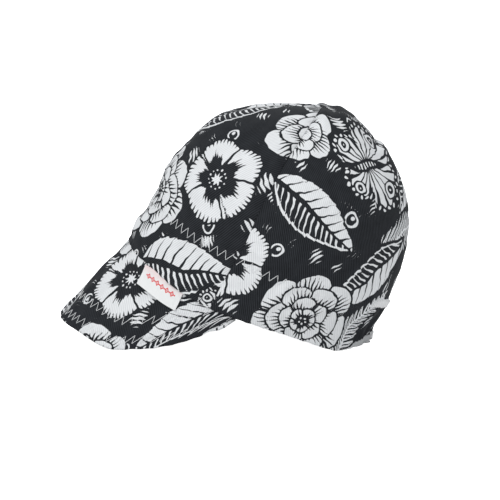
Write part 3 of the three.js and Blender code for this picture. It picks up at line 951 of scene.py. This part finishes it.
class Nodes:
    """A material's nodes, by short calls."""

    def __init__(self, name, **shader):
        self.material = bpy.data.materials.new(name)
        self.material.use_nodes = True
        self.tree = self.material.node_tree
        self.shader = self.tree.nodes["Principled BSDF"]
        for key, value in shader.items():
            self.shader.inputs[key.replace("_", " ")].default_value = value

    def add(self, kind, inputs, **settings):
        made = self.tree.nodes.new(kind)
        for key, value in settings.items():
            setattr(made, key, value)
        for key, value in inputs.items():
            self.put(value, made.inputs[key])
        return made

    def put(self, value, socket):
        if isinstance(value, bpy.types.NodeSocket):
            self.tree.links.new(value, socket)
        else:
            socket.default_value = value

    def math(self, operation, *values):
        return self.add("ShaderNodeMath", dict(enumerate(values)), operation=operation).outputs[0]

    def weighted(self, *terms):
        """The sum of each value times its weight."""
        total = 0.0
        for value, weight in terms:
            total = self.math("MULTIPLY_ADD", value, weight, total)
        return total

    def mix(self, factor, a, b):
        return self.add("ShaderNodeMix", {0: factor, 6: a, 7: b}, data_type="RGBA").outputs[2]

    def attribute(self, name, output="Fac"):
        return self.add("ShaderNodeAttribute", {}, attribute_name=name).outputs[output]

    def noise(self, place, scale, detail=3):
        return self.add("ShaderNodeTexNoise", {"Vector": place, "Scale": scale, "Detail": detail}).outputs[0]

    def between(self, value, low, high):
        """0 at the low value and below, 1 at the high one and above."""
        inputs = {"Value": value, "From Min": low, "From Max": high}
        return self.add("ShaderNodeMapRange", inputs).outputs[0]

    def bands(self, along, pitch):
        """0 to 1 and back once in each pitch."""
        wave = self.math("SINE", self.math("MULTIPLY", along, CIRCLE / pitch))
        return self.math("MULTIPLY_ADD", wave, 0.5, 0.5)

    def across(self, cloth):
        """The two measures of a place on the cloth, across it and down it."""
        return self.add("ShaderNodeSeparateXYZ", {0: cloth}).outputs[:2]

    def bump(self, height, distance, strength):
        made = self.add("ShaderNodeBump", {"Height": height, "Distance": distance, "Strength": strength})
        self.tree.links.new(made.outputs[0], self.shader.inputs["Normal"])


BLACK_INK = (0.0045, 0.0052, 0.0066, 1)
BLACK_LIT = (0.0290, 0.0320, 0.0370, 1)
WHITE_CLOTH = (0.800, 0.812, 0.822, 1)
WHITE_SHADED = (0.600, 0.615, 0.632, 1)
WRONG_SIDE = (0.900, 0.905, 0.910, 1)
WRONG_SHADED = (0.620, 0.625, 0.635, 1)
WRONG_GHOST = (0.380, 0.388, 0.400, 1)
TWILL_PITCH = 1.5
YARN_PITCH = 0.62
TAG_WHITE = (0.80, 0.81, 0.81, 1)
TAG_PINK = (0.83, 0.67, 0.665, 1)
TAG_SHADED = (0.50, 0.48, 0.47, 1)
TAG_RED = (0.62, 0.035, 0.04, 1)
TAG_RED_LIT = (0.74, 0.07, 0.07, 1)
SATIN_RIB = 0.42
SATIN_FLOAT = 0.55
THREAD_SHADED = (0.62, 0.63, 0.64, 1)
THREAD_LIT = (0.88, 0.89, 0.90, 1)
THREAD_TWIST = 0.5


def weave(nodes, turn):
    """Twill of a cloth in its own place: its ridges, and the yarns that cross them."""
    cloth = nodes.attribute("cloth", "Vector")
    x, y = nodes.across(cloth)
    c, s = direction(turn)
    ridges = nodes.bands(nodes.weighted((x, -s), (y, c), (nodes.noise(cloth, 0.22), 0.5)), TWILL_PITCH)
    yarns = nodes.bands(nodes.weighted((x, c), (y, s), (ridges, 0.3)), YARN_PITCH)
    fuzz = nodes.noise(cloth, 2.6, 4)
    return cloth, nodes.weighted((ridges, 0.6), (yarns, 0.25), (fuzz, 0.5))


def printed_twill(panel):
    nodes = Nodes(f"{panel}_twill", Roughness=0.86, Specular_IOR_Level=0.12, Sheen_Weight=0.02)
    cloth, height = weave(nodes, CUTS[panel]["twill"])
    ragged = nodes.math("MULTIPLY_ADD", nodes.noise(cloth, 1.7), 0.24, -0.12)
    # white of the print, and the painted highlight of the turned casing fold, which leaves its ghost print
    # off
    bare = nodes.between(nodes.math("ADD", nodes.attribute("ink"), ragged), -0.09, 0.09)
    # painted shade and highlight: the twill's ridges take the lit colours and its hollows the shaded ones,
    # with some random tone
    ridge_shade_and_tone = nodes.between(nodes.weighted((height, 1.0), (nodes.noise(cloth, 0.12), 0.5)), 0.45, 1.25)
    black = nodes.mix(ridge_shade_and_tone, BLACK_INK, BLACK_LIT)
    white = nodes.mix(ridge_shade_and_tone, WHITE_SHADED, WHITE_CLOTH)
    shown = nodes.mix(bare, black, white)
    wrong = nodes.mix(ridge_shade_and_tone, WRONG_SHADED, WRONG_SIDE)
    ghost = nodes.mix(nodes.math("MULTIPLY_ADD", bare, -0.7, 0.7), wrong, WRONG_GHOST)
    side = nodes.between(nodes.attribute("reverse"), 0.35, 0.65)
    nodes.put(nodes.mix(side, shown, ghost), nodes.shader.inputs["Base Color"])
    nodes.bump(height, 0.00012, 0.7)
    return nodes.material


def plain_twill(name):
    nodes = Nodes(name, Roughness=0.9, Specular_IOR_Level=0.12, Sheen_Weight=0.03)
    height = weave(nodes, 60)[1]
    # painted shade and highlight: the ridges of the band's twill take the lit black and its hollows the
    # darker black
    ridge_shade_and_tone = nodes.between(height, 0.4, 1.2)
    nodes.put(nodes.mix(ridge_shade_and_tone, BLACK_INK, BLACK_LIT), nodes.shader.inputs["Base Color"])
    nodes.bump(height, 0.00012, 0.7)
    return nodes.material


def satin(name):
    nodes = Nodes(name, Roughness=0.55, Sheen_Weight=0.2)
    cloth = nodes.attribute("cloth", "Vector")
    x, y = nodes.across(cloth)
    ribs = nodes.bands(y, SATIN_RIB)
    height = nodes.weighted((ribs, 1.0), (nodes.bands(x, SATIN_FLOAT), 0.4))
    tint = nodes.between(nodes.weighted((y, 1.0), (nodes.noise(cloth, 0.2), 3.0)), -6, 2)
    white = nodes.mix(tint, TAG_WHITE, TAG_PINK)
    white = nodes.mix(nodes.math("MULTIPLY", ribs, 0.12), white, TAG_SHADED)
    motif = nodes.between(nodes.attribute("ink"), -0.1, 0.1)
    red = nodes.mix(ribs, TAG_RED, TAG_RED_LIT)
    nodes.put(nodes.mix(motif, white, red), nodes.shader.inputs["Base Color"])
    nodes.bump(height, 0.00006, 0.6)
    return nodes.material


def cotton_thread(name):
    nodes = Nodes(name, Roughness=0.6, Sheen_Weight=0.2)
    x, y = nodes.across(nodes.attribute("cloth", "Vector"))
    twist = nodes.bands(nodes.weighted((x, 1.0), (y, 0.16)), THREAD_TWIST)
    nodes.put(nodes.mix(twist, THREAD_SHADED, THREAD_LIT), nodes.shader.inputs["Base Color"])
    nodes.bump(twist, 0.00005, 0.6)
    return nodes.material


def hand_in(pieces, node):
    """A sheet of cloth, its face first, that takes the place of one solid."""
    for piece in pieces:
        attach(piece, "root")
        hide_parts(node)


sewing = cotton_thread("white_thread")
surfaces = {}
for side, sign in (("left", -1), ("right", 1)):
    for part, held in (("front", "stretched"), ("back", "gathered")):
        node = f"crown_{part}_{side}"
        pieces, cut, surfaces[node] = crown_panel(node, sign, part == "front")
        hand_in(pieces, node)

pieces, cut, surfaces["bill"] = bill_panel()
hand_in(pieces, "bill")

band, cut = inside_band()
hand_in([band], "sweatband")

pieces, cut = woven_tag()
hand_in(pieces, "side_tag")

for side, sign in (("left", 1), ("right", -1)):
    paths = []
    for part in ("front", "back"):
        surface = surfaces[f"crown_{part}_{side}"]
        heights = CROWN_ROW[part] if sign > 0 else CROWN_ROW[part][::-1]
        middle = surface["y"][:, surface["y"].shape[1] // 2]
        level = surface["x"][int(np.argmin(np.abs(middle - np.mean(heights))))]
        low, high = level.min() + SEAM_CLEAR, level.max() - SEAM_CLEAR
        if part == "back":
            low, high = (low, high - ROW_FROM_BACK) if sign > 0 else (low + ROW_FROM_BACK, high)
        paths.append(zigzag(surface, surface["y"], low, high, *heights))
    row = thread(f"crown_zigzag_{side}", paths, sewing)
    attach(row, "root")

for place in BILL_STITCHES:
    surface = surfaces["bill"]
    half = surface["x"][-1].max() - place["from_end"]
    path = zigzag(surface, surface["from_edge"], -half, half, place["from_edge"], place["from_edge"])
    row = thread(f"bill_zigzag_{place['name']}", [path], sewing)
    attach(row, "root")

bpy.ops.mesh.primitive_plane_add(size=60, location=(0, 0, -0.0003))
floor = bpy.context.object
floor.name = "white_sweep"
paper = Nodes("white_paper", Roughness=0.95)
paper.shader.inputs["Base Color"].default_value = (0.85, 0.85, 0.85, 1)
paper.shader.inputs["Emission Color"].default_value = (1, 1, 1, 1)
seen = paper.add("ShaderNodeLightPath", {}).outputs["Is Camera Ray"]
paper.put(paper.math("MULTIPLY_ADD", seen, 1.0, 0.05), paper.shader.inputs["Emission Strength"])
floor.data.materials.append(paper.material)

world = bpy.data.worlds.new("studio")
world.use_nodes = True
world.node_tree.nodes["Background"].inputs[0].default_value = (0.96, 0.98, 1, 1)
world.node_tree.nodes["Background"].inputs[1].default_value = 0.54
bpy.context.scene.world = world
bpy.context.scene.view_settings.view_transform = "Standard"

LAMPS = table(
    "name x y z size watts",
    ("key", -0.9, -1.2, 1.6, 1.0, 21),
    ("fill", 1.2, -1.2, 0.9, 1.2, 5),
    ("rim", 0.4, 1.4, 1.3, 1.0, 7),
)
for lamp in LAMPS:
    light = bpy.data.lights.new(lamp["name"], "AREA")
    light.size = lamp["size"]
    light.energy = lamp["watts"]
    holder = bpy.data.objects.new(lamp["name"], light)
    holder.location = (lamp["x"], lamp["y"], lamp["z"])
    aim = Vector((0, 0, 0.07)) - Vector(holder.location)
    holder.rotation_euler = aim.to_track_quat("-Z", "Y").to_euler()
    bpy.context.scene.collection.objects.link(holder)

# The photo's camera is 1.6 m from the cap and looks 8 degrees down
lens = bpy.data.cameras.new("photo_camera")
lens.sensor_width = 36
lens.lens = 148.6
camera = bpy.data.objects.new("photo_camera", lens)
camera.location = (0.014, -1.584, 0.291)
camera.rotation_euler = (np.radians(82), 0, 0)
bpy.context.scene.collection.objects.link(camera)
bpy.context.scene.camera = camera
